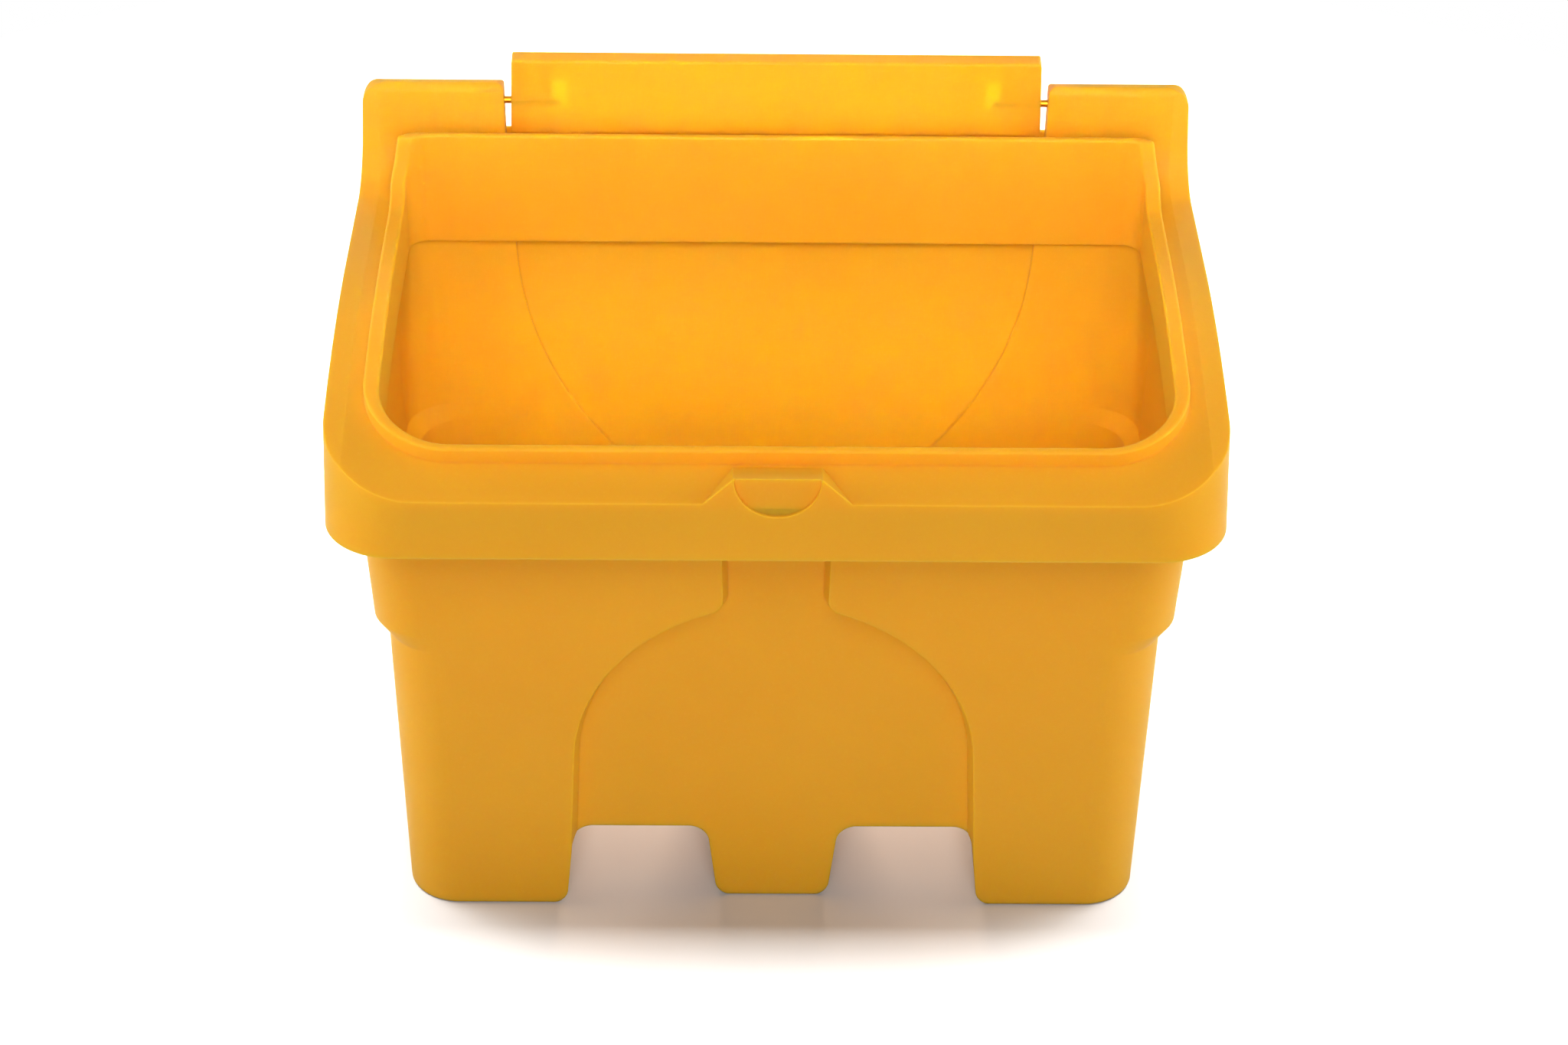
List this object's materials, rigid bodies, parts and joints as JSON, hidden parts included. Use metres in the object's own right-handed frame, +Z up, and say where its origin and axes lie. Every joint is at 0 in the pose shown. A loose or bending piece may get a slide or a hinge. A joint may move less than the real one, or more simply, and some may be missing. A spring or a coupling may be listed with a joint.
{
  "type": "grit salt bin",
  "caption": "Moulded plastic roadside bin for grit or rock salt, with a tapered body on skids and a lid that swings over and hangs behind.",
  "frame": {"origin": "on the ground under the middle of the bin: the skids' resting faces are at Z = 0", "axes": "+X to the right along the width, +Y to the back where the lid hangs, +Z up; the front faces -Y"},
  "size_m": [0.89, 0.7694, 0.7509],
  "materials": {
    "yellow_polyethylene": "satin moulded skin",
    "pin_steel": "plain turned"
  },
  "bodies": {
    "bin": {"bin_body": "yellow_polyethylene"},
    "lid": {"lid": "yellow_polyethylene", "hinge_pin_left": "pin_steel", "hinge_pin_right": "pin_steel"}
  },
  "joints": [
    {"name": "lid_hinge", "type": "hinge", "parent": "bin", "child": "lid", "pos_m": [0, 0.267, 0.6975], "axis": [1, 0, 0], "range_deg": [0, 263]}
  ]
}
